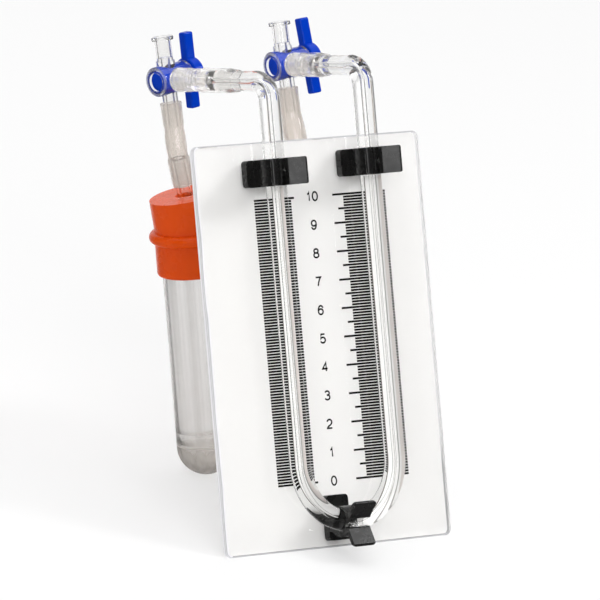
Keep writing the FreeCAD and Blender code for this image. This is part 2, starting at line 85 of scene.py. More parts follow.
def noise_between(nodes, links, scale, low, high, detail=3.0, stretch=None):
    """A noise factor mapped to the range low..high, in object space."""
    place = nodes.new("ShaderNodeTexCoord")
    vector = place.outputs["Object"]
    if stretch:
        mapping = nodes.new("ShaderNodeMapping")
        mapping.inputs["Scale"].default_value = stretch
        links.new(vector, mapping.inputs["Vector"])
        vector = mapping.outputs["Vector"]
    noise = nodes.new("ShaderNodeTexNoise")
    noise.inputs["Scale"].default_value = scale
    noise.inputs["Detail"].default_value = detail
    links.new(vector, noise.inputs["Vector"])
    span = nodes.new("ShaderNodeMapRange")
    span.inputs["From Min"].default_value = NOISE_LOW
    span.inputs["From Max"].default_value = NOISE_HIGH
    span.inputs["To Min"].default_value = low
    span.inputs["To Max"].default_value = high
    links.new(noise.outputs["Fac"], span.inputs["Value"])
    return span.outputs["Result"]


def mottled(nodes, links, colour_a, colour_b, scale):
    """A colour that wanders between two, in object space."""
    factor = noise_between(nodes, links, scale, 0.0, 1.0)
    mix = nodes.new("ShaderNodeMix")
    mix.data_type = "RGBA"
    mix.inputs["A"].default_value = (*colour_a, 1)
    mix.inputs["B"].default_value = (*colour_b, 1)
    links.new(factor, mix.inputs["Factor"])
    return mix.outputs["Result"]


def opaque(name, colour_a, colour_b, scale, rough_a, rough_b, bump=0.0, bump_scale=2000.0, ior=1.4,
           subsurface=0.0):
    m, nodes, links = new_material(name)
    out = nodes.new("ShaderNodeOutputMaterial")
    shader = nodes.new("ShaderNodeBsdfPrincipled")
    links.new(mottled(nodes, links, colour_a, colour_b, scale), shader.inputs["Base Color"])
    links.new(noise_between(nodes, links, scale * 2.3, rough_a, rough_b), shader.inputs["Roughness"])
    shader.inputs["IOR"].default_value = ior
    if subsurface:
        shader.inputs["Subsurface Weight"].default_value = subsurface
        shader.inputs["Subsurface Radius"].default_value = (1.0, 0.3, 0.1)
        shader.inputs["Subsurface Scale"].default_value = 0.002
    if bump:
        bump_node = nodes.new("ShaderNodeBump")
        bump_node.inputs["Strength"].default_value = bump
        bump_node.inputs["Distance"].default_value = 0.0001
        links.new(noise_between(nodes, links, bump_scale, 0.0, 1.0, 4.0), bump_node.inputs["Height"])
        links.new(bump_node.outputs["Normal"], shader.inputs["Normal"])
    links.new(shader.outputs["BSDF"], out.inputs["Surface"])
    return m


def clear(name, colour_a, colour_b, ior, rough_a, rough_b, milk=0.0, milk_colour=(0.9, 0.88, 0.85),
          shade=0.9, scale=120.0, stretch=None, bump=0.0, bump_scale=300.0, absorb=0.0, foot=None):
    """Glass or clear plastic: milk is a diffuse share, foot is (colour, low z, high z, milk) at its end."""
    m, nodes, links = new_material(name)
    out = nodes.new("ShaderNodeOutputMaterial")
    shader = nodes.new("ShaderNodeBsdfPrincipled")
    shader.inputs["Transmission Weight"].default_value = 1.0
    shader.inputs["IOR"].default_value = ior
    colour = mottled(nodes, links, colour_a, colour_b, scale)
    if foot:
        tint, low, high, foot_milk = foot
        place = nodes.new("ShaderNodeTexCoord")
        axes = nodes.new("ShaderNodeSeparateXYZ")
        links.new(place.outputs["Object"], axes.inputs["Vector"])
        rise = nodes.new("ShaderNodeMapRange")
        rise.interpolation_type = "SMOOTHSTEP"
        rise.inputs["From Min"].default_value = low
        rise.inputs["From Max"].default_value = high
        links.new(axes.outputs["Z"], rise.inputs["Value"])
        tinted = nodes.new("ShaderNodeMix")
        tinted.data_type = "RGBA"
        tinted.inputs["A"].default_value = (*tint, 1)
        links.new(colour, tinted.inputs["B"])
        links.new(rise.outputs["Result"], tinted.inputs["Factor"])
        colour = tinted.outputs["Result"]
    links.new(colour, shader.inputs["Base Color"])
    links.new(
        noise_between(nodes, links, scale * 1.7, rough_a, rough_b, 3.0, stretch), shader.inputs["Roughness"]
    )
    if absorb:
        inside = nodes.new("ShaderNodeVolumeAbsorption")
        inside.inputs["Color"].default_value = INSIDE_COLOUR
        inside.inputs["Density"].default_value = absorb
        links.new(inside.outputs["Volume"], out.inputs["Volume"])
    if bump:
        bump_node = nodes.new("ShaderNodeBump")
        bump_node.inputs["Strength"].default_value = bump
        bump_node.inputs["Distance"].default_value = 0.0001
        links.new(
            noise_between(nodes, links, bump_scale, 0.0, 1.0, 2.0, stretch), bump_node.inputs["Height"]
        )
        links.new(bump_node.outputs["Normal"], shader.inputs["Normal"])
    surface = shader.outputs["BSDF"]
    if milk:
        soft = nodes.new("ShaderNodeBsdfDiffuse")
        soft.inputs["Color"].default_value = (*milk_colour, 1)
        through = nodes.new("ShaderNodeBsdfTranslucent")
        through.inputs["Color"].default_value = (*milk_colour, 1)
        both = nodes.new("ShaderNodeMixShader")
        both.inputs["Fac"].default_value = 0.5
        links.new(soft.outputs["BSDF"], both.inputs[1])
        links.new(through.outputs["BSDF"], both.inputs[2])
        milky = nodes.new("ShaderNodeMixShader")
        milky.inputs["Fac"].default_value = milk
        if foot:
            share = nodes.new("ShaderNodeMapRange")
            share.inputs["To Min"].default_value = foot_milk
            share.inputs["To Max"].default_value = milk
            links.new(rise.outputs["Result"], share.inputs["Value"])
            streaks = noise_between(nodes, links, STREAK_SCALE, -0.05, 0.16, 2.0, STREAK_STRETCH)
            varied = nodes.new("ShaderNodeMath")
            links.new(share.outputs["Result"], varied.inputs[0])
            links.new(streaks, varied.inputs[1])
            around = nodes.new("ShaderNodeMath")
            around.operation = "COMPARE"
            around.inputs[1].default_value = RING_LEVEL
            around.inputs[2].default_value = RING_HALF
            links.new(axes.outputs["Z"], around.inputs[0])
            line = nodes.new("ShaderNodeMath")
            line.operation = "MULTIPLY_ADD"
            line.inputs[1].default_value = RING_MILK
            links.new(around.outputs["Value"], line.inputs[0])
            links.new(varied.outputs["Value"], line.inputs[2])
            links.new(line.outputs["Value"], milky.inputs["Fac"])
        links.new(surface, milky.inputs[1])
        links.new(both.outputs["Shader"], milky.inputs[2])
        surface = milky.outputs["Shader"]
    path = nodes.new("ShaderNodeLightPath")
    pass_through = nodes.new("ShaderNodeBsdfTransparent")
    pass_through.inputs["Color"].default_value = (shade, shade, shade, 1)
    mix = nodes.new("ShaderNodeMixShader")
    links.new(path.outputs["Is Shadow Ray"], mix.inputs["Fac"])
    links.new(surface, mix.inputs[1])
    links.new(pass_through.outputs["BSDF"], mix.inputs[2])
    links.new(mix.outputs["Shader"], out.inputs["Surface"])
    return m


GLASS = clear("glass", (0.985, 0.985, 0.98), (0.965, 0.965, 0.96), 1.47, 0.0, 0.008, shade=0.93,
              stretch=(1, 1, 0.1))
LEG_GLASS = clear("leg_glass", (0.985, 0.985, 0.98), (0.965, 0.965, 0.96), 1.24, 0.0, 0.008, shade=0.95,
                  stretch=(1, 1, 0.1))
LEG_BORE = clear("leg_bore", (0.99, 0.99, 0.985), (0.97, 0.97, 0.965), 1.07, 0.0, 0.02, shade=0.97,
                 stretch=(1, 1, 0.1))
TEST_GLASS = clear("boiling_tube_glass", (0.995, 0.993, 0.99), (0.985, 0.982, 0.978), 1.47, 0.0, 0.008,
                   milk=0.05, milk_colour=(0.80, 0.765, 0.73), shade=0.92, absorb=18.0,
                   foot=((0.96, 0.94, 0.915), -0.002, 0.0035, 0.3))
CLEAR_PLASTIC = clear("clear_plastic", (0.995, 0.993, 0.988), (0.985, 0.98, 0.972), 1.46, 0.01, 0.04,
                      milk=0.025, milk_colour=(0.97, 0.96, 0.94), shade=0.92, bump=0.01)
SOFT_PLASTIC = clear("moulded_plastic", (0.995, 0.99, 0.98), (0.98, 0.972, 0.958), 1.43, 0.01, 0.05,
                     milk=0.18, milk_colour=(1.0, 0.985, 0.96), shade=0.93, bump=0.01)
RING_PLASTIC = clear("barrel_end_plastic", (0.98, 0.98, 0.98), (0.95, 0.95, 0.95), 1.45, 0.02, 0.06,
                     milk=0.16, milk_colour=(0.95, 0.95, 0.95), shade=0.85)
SHEET = clear("clear_sheet", (0.985, 0.985, 0.985), (0.97, 0.97, 0.972), 1.49, 0.0, 0.015, shade=0.97)
# milky grey on the clear sheet's front edges: painted shade for its dark edge lines
SHEET_RIM = clear("sheet_rim", (0.9, 0.9, 0.91), (0.8, 0.8, 0.82), 1.49, 0.05, 0.2, milk=0.85,
                  milk_colour=(0.55, 0.545, 0.57), shade=0.9)
ARM_SILICONE = clear("arm_silicone", (0.995, 0.99, 0.982), (0.98, 0.972, 0.96), 1.40, 0.02, 0.06,
                     milk=0.07, milk_colour=(1.0, 0.985, 0.965), shade=0.9, bump=0.01)
SILICONE = clear("silicone", (0.965, 0.94, 0.91), (0.935, 0.905, 0.87), 1.40, 0.03, 0.08, milk=0.3,
                 milk_colour=(0.78, 0.735, 0.69), shade=0.85, bump=0.01)
BEIGE = opaque("beige_enamel", (0.80, 0.755, 0.725), (0.76, 0.71, 0.68), 90.0, 0.4, 0.5, ior=1.3)
# milky grey across the thickness of the sheet's rims: painted shade
SHEET_WALL = clear("sheet_wall", (0.97, 0.97, 0.98), (0.92, 0.92, 0.94), 1.49, 0.05, 0.2, milk=0.5,
                   milk_colour=(0.85, 0.85, 0.87), shade=0.9)


SHEET_DEPTH = 0.003
# place of each painted shade streak as a share of the sheet's thickness, and its grey
SHEET_STREAKS = (
    (0.10, 1.0), (0.18, 0.62), (0.27, 0.55), (0.36, 0.85), (0.50, 0.55), (0.62, 0.9), (0.78, 0.85),
)


def sheet_side():
    """The sheet's left side: painted shade, grey with long streaks across its thickness, and a painted
    highlight as a white line at the front.
    """
    m = SHEET_RIM.copy()
    m.name = "sheet_side"
    nodes, links = m.node_tree.nodes, m.node_tree.links
    place = nodes.new("ShaderNodeTexCoord")
    level = nodes.new("ShaderNodeMapping")
    front = -SHIFT_Y * 0.001 * math.cos(LEAN) + SHIFT_Z * 0.001 * math.sin(LEAN)
    level.inputs["Location"].default_value = (0.0, front, 0.0)
    level.inputs["Rotation"].default_value = (LEAN, 0.0, 0.0)
    links.new(place.outputs["Object"], level.inputs["Vector"])
    axes = nodes.new("ShaderNodeSeparateXYZ")
    links.new(level.outputs["Vector"], axes.inputs["Vector"])
    depth = nodes.new("ShaderNodeMath")
    depth.operation = "DIVIDE"
    depth.inputs[1].default_value = SHEET_DEPTH
    links.new(axes.outputs["Y"], depth.inputs[0])
    wave = noise_between(nodes, links, 60.0, -0.05, 0.05, 1.0)
    bent = nodes.new("ShaderNodeMath")
    links.new(depth.outputs["Value"], bent.inputs[0])
    links.new(wave, bent.inputs[1])
    ramp = nodes.new("ShaderNodeValToRGB")
    ramp.color_ramp.elements[0].position = 0.0
    ramp.color_ramp.elements[0].color = (1.0, 1.0, 1.0, 1)
    ramp.color_ramp.elements[1].position = 1.0
    ramp.color_ramp.elements[1].color = (0.55, 0.56, 0.60, 1)
    for at, grey in SHEET_STREAKS:
        e = ramp.color_ramp.elements.new(at)
        e.color = (grey, grey, grey * 1.04, 1)
    links.new(bent.outputs["Value"], ramp.inputs["Fac"])
    for node in nodes:
        if node.type in ("BSDF_DIFFUSE", "BSDF_TRANSLUCENT"):
            links.new(ramp.outputs["Color"], node.inputs["Color"])
    return m


SHEET_SIDE = sheet_side()
ENAMEL = opaque("white_enamel", (0.90, 0.895, 0.885), (0.87, 0.865, 0.85), 90.0, 0.4, 0.5, ior=1.3)
# the dark strip at the white strip's edge is painted shade for the dark line seen through the glass
EDGE_SHADE = opaque("edge_shade", (0.10, 0.085, 0.075), (0.16, 0.14, 0.12), 300.0, 0.4, 0.5, ior=1.3)
# the grey lines in the strips are painted shade for dark lines seen through the glass
SHADE_LINE = opaque("shade_line", (0.42, 0.41, 0.39), (0.36, 0.35, 0.33), 300.0, 0.4, 0.5, ior=1.3)
ORANGE = opaque("orange_rubber", (0.80, 0.084, 0.002), (0.74, 0.071, 0.0015), 60.0, 0.22, 0.32,
                bump=0.05, bump_scale=900.0, ior=1.27, subsurface=0.05)
BLUE = opaque("blue_plastic", (0.0004, 0.044, 0.50), (0.0003, 0.038, 0.45), 80.0, 0.12, 0.2,
              bump=0.03, bump_scale=600.0, ior=1.2)
BLACK = opaque("black_plastic", (0.006, 0.006, 0.0058), (0.009, 0.0088, 0.0085), 120.0, 0.22, 0.34,
               bump=0.1, bump_scale=1500.0, ior=1.4)
CARD = opaque("white_card", (0.86, 0.853, 0.84), (0.845, 0.838, 0.826), 25.0, 0.5, 0.6, ior=1.2)
INK = opaque("black_ink", (0.006, 0.006, 0.006), (0.012, 0.011, 0.0105), 500.0, 0.5, 0.6, ior=1.1)
STEEL = opaque("steel", (0.55, 0.55, 0.54), (0.42, 0.42, 0.41), 300.0, 0.25, 0.4)
# darker steel for the clip screws: painted shade, so that they stay dark in the clip's gap
SHADED_STEEL = opaque("shaded_steel", (0.10, 0.10, 0.098), (0.06, 0.06, 0.058), 300.0, 0.35, 0.5)
for metal in (STEEL, SHADED_STEEL):
    for node in metal.node_tree.nodes:
        if node.type == "BSDF_PRINCIPLED":
            node.inputs["Metallic"].default_value = 1.0


# mesh helpers
SHARP = math.radians(32)


def mesh_piece(name, verts, faces, material, body="stand", smooth=True):
    mesh = bpy.data.meshes.new(name)
    mesh.from_pydata([tuple(v) for v in verts], [], faces)
    mesh.validate()
    mesh.update()
    obj = bpy.data.objects.new(name, mesh)
    bpy.context.scene.collection.objects.link(obj)
    mesh.materials.append(material)
    for p in mesh.polygons:
        p.use_smooth = smooth
    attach(obj, body)
    return obj


def cut_copy(node, name, material, drop, others=()):
    """A copy of a CAD node without the faces that drop() picks; others are (material, picks) pairs."""
    source = frame["nodes"][node].data
    verts = [v.co.copy() for v in source.vertices]
    keep = [tuple(p.vertices) for p in source.polygons if not drop([verts[i] for i in p.vertices])]
    used = sorted({i for face in keep for i in face})
    merged, index = {}, {}
    new_verts = []
    for i in used:
        key = tuple(round(c * 1e7) for c in verts[i])
        if key not in merged:
            merged[key] = len(new_verts)
            new_verts.append(verts[i])
        index[i] = merged[key]
    faces = []
    for face in keep:
        f = tuple(index[i] for i in face)
        if len(set(f)) == len(f):
            faces.append(f)
    obj = mesh_piece(name, new_verts, faces, material)
    obj.data.set_sharp_from_angle(angle=SHARP)
    for number, (other, picks) in enumerate(others, 1):
        obj.data.materials.append(other)
        for p in obj.data.polygons:
            if picks([new_verts[i] for i in p.vertices]):
                p.material_index = number
    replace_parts(obj, node)


def hollow_sweep(path, outer, inner, count):
    """Vertices and faces of a tube along path (plate frame, mm), with radii at each point."""
    verts, faces = [], []
    dirs = []
    for i in range(len(path)):
        a = path[max(i - 1, 0)]
        b = path[min(i + 1, len(path) - 1)]
        dirs.append((b - a).normalized())
    side = dirs[0].orthogonal().normalized()
    rings = []
    last = dirs[0]
    for i, p in enumerate(path):
        d = dirs[i]
        side = (last.rotation_difference(d) @ side).normalized()
        side = (side - d * side.dot(d)).normalized()
        last = d
        up = d.cross(side)
        for radii in (outer, inner):
            ring = []
            for k in range(count):
                a = 2 * math.pi * k / count
                ring.append(len(verts))
                verts.append(world(p + (side * math.cos(a) + up * math.sin(a)) * radii[i]))
            rings.append(ring)
    for i in range(len(path) - 1):
        for j in range(2):
            a, b = rings[i * 2 + j], rings[(i + 1) * 2 + j]
            for k in range(count):
                n = (k + 1) % count
                face = (a[k], a[n], b[n], b[k])
                faces.append(face if j == 0 else face[::-1])
    for first, (o, w) in ((True, rings[:2]), (False, rings[-2:])):
        for k in range(count):
            n = (k + 1) % count
            face = (o[k], w[k], w[n], o[n])
            faces.append(face if first else face[::-1])
    return verts, faces


def line_points(a, b, count):
    return [a.lerp(b, i / count) for i in range(count + 1)]


def arc_points(centre, start, end, count):
    u = start - centre
    v = end - centre
    full = u.angle(v)
    axis = u.cross(v).normalized()
    return [centre + Matrix.Rotation(full * i / count, 3, axis) @ u for i in range(count + 1)]


# manometer tube
R_TUBE, R_ARM, R_BORE = 3.76, 3.5, 0.6
LEG_L, LEG_R, STAND_OFF, BEND_Z, BEND_R = -22.13, 19.95, -8.9, 30.0, 21.04
CORNER_L, CORNER_R, ARM_L, ARM_R = 164.2, 167.5, 27.6, 25.6
ELBOW_R, CONE, LEG_TOP, TUBE_SIDES = 6.4, 3.0, 132.5, 72


def arm_direction(yaw, pitch):
    y, p = math.radians(yaw), math.radians(pitch)
    return Vector((-math.sin(y) * math.cos(p), math.cos(y) * math.cos(p), math.sin(p)))


def elbow(corner, direction):
    down = Vector((0, 0, -1))
    between = down.angle(direction)
    tangent = ELBOW_R / math.tan(between / 2)
    centre = corner + (down + direction).normalized() * (ELBOW_R / math.sin(between / 2))
    return centre, corner + down * tangent, corner + direction * tangent


def manometer():
    dir_l, dir_r = arm_direction(yaw=5.0, pitch=4.9), arm_direction(yaw=-2.0, pitch=4.2)
    corner_l = Vector((LEG_L, STAND_OFF, CORNER_L))
    corner_r = Vector((LEG_R, STAND_OFF, CORNER_R))
    cl, low_l, arm_l = elbow(corner_l, dir_l)
    cr, low_r, arm_r = elbow(corner_r, dir_r)
    path, outer, inner = [], [], []

    def run(points, radius, skip=True):
        for i, p in enumerate(points):
            if skip and i == 0:
                continue
            path.append(p)
            outer.append(radius(i / (len(points) - 1)) if callable(radius) else radius)
            inner.append(R_BORE)

    end_l, end_r = corner_l + dir_l * ARM_L, corner_r + dir_r * ARM_R
    cone_l, cone_r = arm_l + dir_l * CONE, arm_r + dir_r * CONE
    run(line_points(end_l, cone_l, 10), R_ARM, False)
    run(line_points(cone_l, arm_l, 6), lambda t: R_ARM + (R_TUBE - R_ARM) * t)
    run(arc_points(cl, arm_l, low_l, 24), R_TUBE)
    bend_l = Vector((LEG_L, STAND_OFF, BEND_Z))
    bend_r = Vector((LEG_R, STAND_OFF, BEND_Z))
    run(line_points(low_l, bend_l, 30), R_TUBE)
    mid = Vector(((LEG_L + LEG_R) / 2, STAND_OFF, BEND_Z))
    low = mid + Vector((0, 0, -BEND_R))
    run(arc_points(mid, bend_l, low, 40), R_TUBE)
    run(arc_points(mid, low, bend_r, 40), R_TUBE)
    run(line_points(bend_r, low_r, 30), R_TUBE)
    run(arc_points(cr, low_r, arm_r, 24), R_TUBE)
    run(line_points(arm_r, cone_r, 6), lambda t: R_TUBE + (R_ARM - R_TUBE) * t)
    run(line_points(cone_r, end_r, 10), R_ARM)
    verts, faces = hollow_sweep(path, outer, inner, TUBE_SIDES)
    glass = mesh_piece("manometer_glass", verts, faces, GLASS)
    glass.data.materials.append(LEG_GLASS)
    glass.data.materials.append(LEG_BORE)
    for p in glass.data.polygons:
        if plate_frame(p.center).z < LEG_TOP:
            p.material_index = 2 if (p.index // TUBE_SIDES) % 2 else 1
    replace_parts(glass, "manometer_u_tube")


manometer()


BACK_STRIP_R, BACK_STRIP_THICK, BACK_STRIP_BEND, BACK_STRIP_ROWS, BACK_STRIP_GAP = 3.72, 0.04, 76, 30, 0.05


def enamel_strip(name, side, top, start, end, material):
    """A thin strip in the back of a leg and its bend; start and end are degrees right of the back."""
    x = LEG_L if side == "left" else LEG_R
    turn_side = 1 if side == "left" else -1
    middle = (LEG_L + LEG_R) / 2
    frames = []
    for j in range(BACK_STRIP_ROWS + 1):
        level = top + (BEND_Z - top) * j / BACK_STRIP_ROWS
        frames.append((Vector((x, STAND_OFF, level)), Vector((1, 0, 0))))
    for j in range(1, BACK_STRIP_ROWS + 1):
        a = math.radians(BACK_STRIP_BEND * j / BACK_STRIP_ROWS)
        level = BEND_Z - BEND_R * math.sin(a)
        centre = Vector((middle - turn_side * BEND_R * math.cos(a), STAND_OFF, level))
        frames.append((centre, Vector((math.cos(a), 0, turn_side * math.sin(a)))))
    verts, faces = [], []
    steps = max(2, int((end - start) / 3))
    rows = len(frames) - 1
    for reach in (BACK_STRIP_R, BACK_STRIP_R - BACK_STRIP_THICK):
        for centre, across in frames:
            for k in range(steps + 1):
                a = math.radians(start + (end - start) * k / steps)
                behind = Vector((0, reach * math.cos(a), 0))
                verts.append(world(centre + across * (reach * math.sin(a)) + behind))
    w = steps + 1
    layer = w * (rows + 1)
    for j in range(rows):
        for k in range(steps):
            a = j * w + k
            faces.append((a, a + w, a + w + 1, a + 1))
            faces.append((layer + a, layer + a + 1, layer + a + w + 1, layer + a + w))
        for k in (0, steps):
            a = j * w + k
            f = (a, layer + a, layer + a + w, a + w)
            faces.append(f if k == 0 else f[::-1])
    for k in range(steps):
        faces.append((k, k + 1, layer + k + 1, layer + k))
        a = rows * w + k
        faces.append((a + 1, a, layer + a, layer + a + 1))
    mesh_piece(name, verts, faces, material)


# each leg's back strips: white enamel and beige, with a dark edge strip and grey lines that are painted
# shade
BACK_STRIPS = {
    "left": (127.6, (
        (EDGE_SHADE, 21.0, 23.0), (ENAMEL, 23.0, 47.0), (SHADE_LINE, 47.0, 50.0), (BEIGE, 50.0, 60.0),
    )),
    "right": (128.8, (
        (EDGE_SHADE, 15.0, 17.5), (ENAMEL, 17.5, 40.0), (SHADE_LINE, 40.0, 43.0), (ENAMEL, 43.0, 53.0),
        (SHADE_LINE, 53.0, 56.0), (ENAMEL, 56.0, 62.0), (BEIGE, 62.0, 72.0),
    )),
}
for side, (top, strips) in BACK_STRIPS.items():
    for number, (material, start, end) in enumerate(strips, 1):
        name = "enamel_%s_%d" % (side, number)
        enamel_strip(name, side, top, start + BACK_STRIP_GAP, end - BACK_STRIP_GAP, material)

# printed card
PLATE_HALF, PLATE_TOP, CARD_INSET, CARD_CORNER = 50.0, 143.5, 0.6, 1.9
CARD_FRONT, CARD_BACK, INK_FACE = 3.0, 3.4, 2.985


def printed_card():
    w, h, r, low = PLATE_HALF - CARD_INSET, PLATE_TOP - CARD_INSET, CARD_CORNER, CARD_INSET
    corners = ((w - r, h - r, 0), (-w + r, h - r, 90), (-w + r, low + r, 180), (w - r, low + r, 270))
    outline = []
    for cx, cz, a0 in corners:
        for k in range(9):
            a = math.radians(a0 + 90 * k / 8)
            outline.append((cx + r * math.cos(a), cz + r * math.sin(a)))
    n = len(outline)
    verts = [world(Vector((x, CARD_FRONT, z))) for x, z in outline]
    verts += [world(Vector((x, CARD_BACK, z))) for x, z in outline]
    faces = [tuple(range(n)), tuple(range(2 * n - 1, n - 1, -1))]
    faces += [(k, n + k, n + (k + 1) % n, (k + 1) % n) for k in range(n)]
    card = mesh_piece("printed_card", verts, faces, CARD, smooth=False)
    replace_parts(card, "scale_card")


printed_card()

# the slanting view through the sheet moves the print by SHIFT_SEEN against the sheet's front
SCALE_ZERO, SCALE_STEP, SHIFT_SEEN = 23.165, 1.0, 1.36
TICK, STROKE = 0.74, 0.62
TICKS_LEFT, LEFT_END, LEFT_END_LONG = -25.7, -9.3, -7.9
START_TEN, START_FIVE, START_ONE, TICKS_RIGHT = 9.1, 11.3, 13.9, 32.8
NUMBER_X, NUMBER_DRIFT, NUMBER_PITCH, MITRE = -0.8, 0.08, 2.75, 0.45


def bars(name, runs):
    """Flat printed strokes: (x from, x to, z) each TICK high."""
    verts, faces = [], []
    for x0, x1, z in runs:
        i = len(verts)
        for x, dz in ((x0, -1), (x1, -1), (x1, 1), (x0, 1)):
            verts.append(world(Vector((x, INK_FACE, z + dz * TICK / 2))))
        faces.append((i, i + 1, i + 2, i + 3))
    mesh_piece(name, verts, faces, INK, smooth=False)


def scale_print():
    left, right = [], []
    for i in range(101):
        z = SCALE_ZERO + i * SCALE_STEP
        end = LEFT_END_LONG if i in (0, 100) else LEFT_END
        left.append((TICKS_LEFT + SHIFT_SEEN, end + SHIFT_SEEN, z))
        start = START_TEN if i % 10 == 0 else START_FIVE if i % 5 == 0 else START_ONE
        right.append((start + SHIFT_SEEN, TICKS_RIGHT + SHIFT_SEEN, z))
    bars("print_ticks_left", left)
    bars("print_ticks_right", right)


scale_print()


def bow(cx, cy, rx, ry, start, end, count):
    out = []
    for k in range(count + 1):
        a = math.radians(start + (end - start) * k / count)
        out.append((cx + rx * math.cos(a), cy + ry * math.sin(a)))
    return out


def digit_strokes():
    """Centre lines of plain figures in a box of about 2.2 by 3.04 mm."""
    w, h = 1.08, 1.52
    return {
        "0": [bow(0, 0, w, h, 90, 450, 40)],
        "1": [[(-0.62, 0.86), (-0.3, 0.92), (0.02, 1.1), (0.2, 1.5), (0.2, -h)]],
        "2": [
            bow(0, 0.62, 1.0, 0.9, 172, -28, 20)
            + [(0.5, -0.32), (-0.5, -0.84), (-0.96, -1.3), (-1.02, -h), (w, -h)],
        ],
        "3": [
            bow(-0.02, 0.78, 0.92, 0.74, 160, -78, 20) + [(-0.22, 0.04)],
            [(-0.22, 0.04)] + bow(-0.04, -0.68, 1.06, 0.84, 80, -160, 24),
        ],
        "4": [[(0.42, -h), (0.42, h), (-1.14, -0.6), (1.1, -0.6)]],
        "5": [[(0.88, h), (-0.68, h), (-0.92, 0.0)] + bow(-0.06, -0.54, 1.08, 0.98, 140, -158, 26)],
        "6": [
            bow(0.02, -0.56, 1.02, 0.96, 180, 540, 32),
            [(-1.0, -0.56)] + bow(0.12, -0.1, 1.12, 1.62, 176, 30, 24),
        ],
        "7": [[(-w, h), (w, h), (0.5, 0.72), (0.08, -0.3), (-0.22, -h)]],
        "8": [bow(0, 0.8, 0.9, 0.72, -90, 270, 28), bow(0, -0.7, w, 0.82, 90, 450, 30)],
        "9": [
            bow(-0.02, 0.56, 1.02, 0.96, 0, 360, 32),
            [(1.0, 0.56)] + bow(-0.12, 0.1, 1.12, 1.62, -4, -150, 24),
        ],
    }


def digits():
    verts, faces = [], []
    strokes = digit_strokes()

    def ribbon(points, x_place, z_place):
        base = len(verts)
        n = len(points)
        for i, (x, z) in enumerate(points):
            before = points[max(i - 1, 0)]
            after = points[min(i + 1, n - 1)]
            a = Vector((x - before[0], z - before[1]))
            b = Vector((after[0] - x, after[1] - z))
            if i == 0 and points[0] == points[-1]:
                a = Vector((x - points[-2][0], z - points[-2][1]))
            if i == n - 1 and points[0] == points[-1]:
                b = Vector((points[1][0] - x, points[1][1] - z))
            if a.length < 1e-9:
                a = b
            if b.length < 1e-9:
                b = a
            a, b = a.normalized(), b.normalized()
            across = Vector((-(a.y + b.y), a.x + b.x)).normalized()
            reach = STROKE / 2 / max(MITRE, across.dot(Vector((-a.y, a.x))))
            for side in (1, -1):
                p = Vector((x, z)) + across * reach * side
                verts.append(world(Vector((p.x + x_place, INK_FACE, p.y + z_place))))
        for i in range(n - 1):
            k = base + 2 * i
            faces.append((k, k + 1, k + 3, k + 2))

    for value in range(11):
        text = str(value)
        middle = NUMBER_X + NUMBER_DRIFT * value + SHIFT_SEEN
        for n, c in enumerate(text):
            offset = (n - (len(text) - 1) / 2) * NUMBER_PITCH
            for points in strokes[c]:
                ribbon(points, middle + offset, SCALE_ZERO + value * 10 * SCALE_STEP)
    mesh_piece("print_numbers", verts, faces, INK, smooth=False)


digits()

# the sheet and the stopcock bodies, without the faces that touch what is inside
SHEET_BACK, SHEET_FRONT, WALL_FRONT = 2.8, 0.02, 1.0
RIM_X, RIM_TOP, RIM_LOW = 48.0, 141.5, 2.0


def is_sheet_back(corners):
    return all(plate_frame(v).y > SHEET_BACK for v in corners)


def is_sheet_rim(corners):
    flat = [plate_frame(v) for v in corners]
    if all(v.y < SHEET_FRONT for v in flat):
        return False
    return all(abs(v.x) > RIM_X or v.z > RIM_TOP or v.z < RIM_LOW for v in flat)


def is_sheet_wall(corners):
    return is_sheet_rim(corners) and any(plate_frame(v).y > WALL_FRONT for v in corners)


def is_left_side(corners):
    return is_sheet_rim(corners) and all(plate_frame(v).x < -RIM_X for v in corners)


cut_copy("scale_plate", "clear_plate", SHEET, is_sheet_back,
         ((SHEET_RIM, is_sheet_rim), (SHEET_WALL, is_sheet_wall), (SHEET_SIDE, is_left_side)))

# centre in mm, axis of the barrel and upward direction of the ports, in the frame of the table
STOPCOCKS = {
    "left": (
        (-26.4982, 57.0518, 137.4494), (0.987536, 0.124721, 0.096008), (-0.131271, 0.316116, 0.939595),
    ),
    "right": (
        (21.5941, 52.7054, 141.8445), (0.993269, 0.005245, 0.115709), (-0.110475, 0.343089, 0.932784),
    ),
}
ROOM_START, ROOM_END, ROOM_INNER, ROOM_OUTER = -4.72, 8.48, 3.25, 4.05
RING_PROFILE = [(4.25, -5.55), (5.05, -5.55), (5.05, -5.25), (4.25, -5.25)]


def plug_room(side):
    centre, along, _ = (Vector(v) for v in STOPCOCKS[side])

    def inside(corners):
        for v in corners:
            d = v * 1000 - centre
            t = d.dot(along)
            r = (d - along * t).length
            if not (ROOM_START < t < ROOM_END and ROOM_INNER < r < ROOM_OUTER):
                return False
        return True

    return inside


def round_piece(name, material, points, centre, along, count=64):
    """A turned ring: points are (radius, place along the axis) pairs in mm, closed on itself."""
    along = Vector(along).normalized()
    side = along.orthogonal().normalized()
    up = along.cross(side)
    verts, faces = [], []
    n = len(points)
    for k in range(count):
        a = 2 * math.pi * k / count
        out = side * math.cos(a) + up * math.sin(a)
        for r, t in points:
            verts.append((Vector(centre) + along * t + out * r) * 0.001)
    for k in range(count):
        m = (k + 1) % count
        for j in range(n):
            i = (j + 1) % n
            faces.append((k * n + j, k * n + i, m * n + i, m * n + j))
    obj = mesh_piece(name, verts, faces, material)
    obj.data.set_sharp_from_angle(angle=SHARP)


for side, (middle, along, _) in STOPCOCKS.items():
    cut_copy(
        "stopcock_body_" + side, "stopcock_clear_" + side, CLEAR_PLASTIC, plug_room(side)
    )
    round_piece("barrel_ring_" + side, RING_PLASTIC, RING_PROFILE, middle, along)

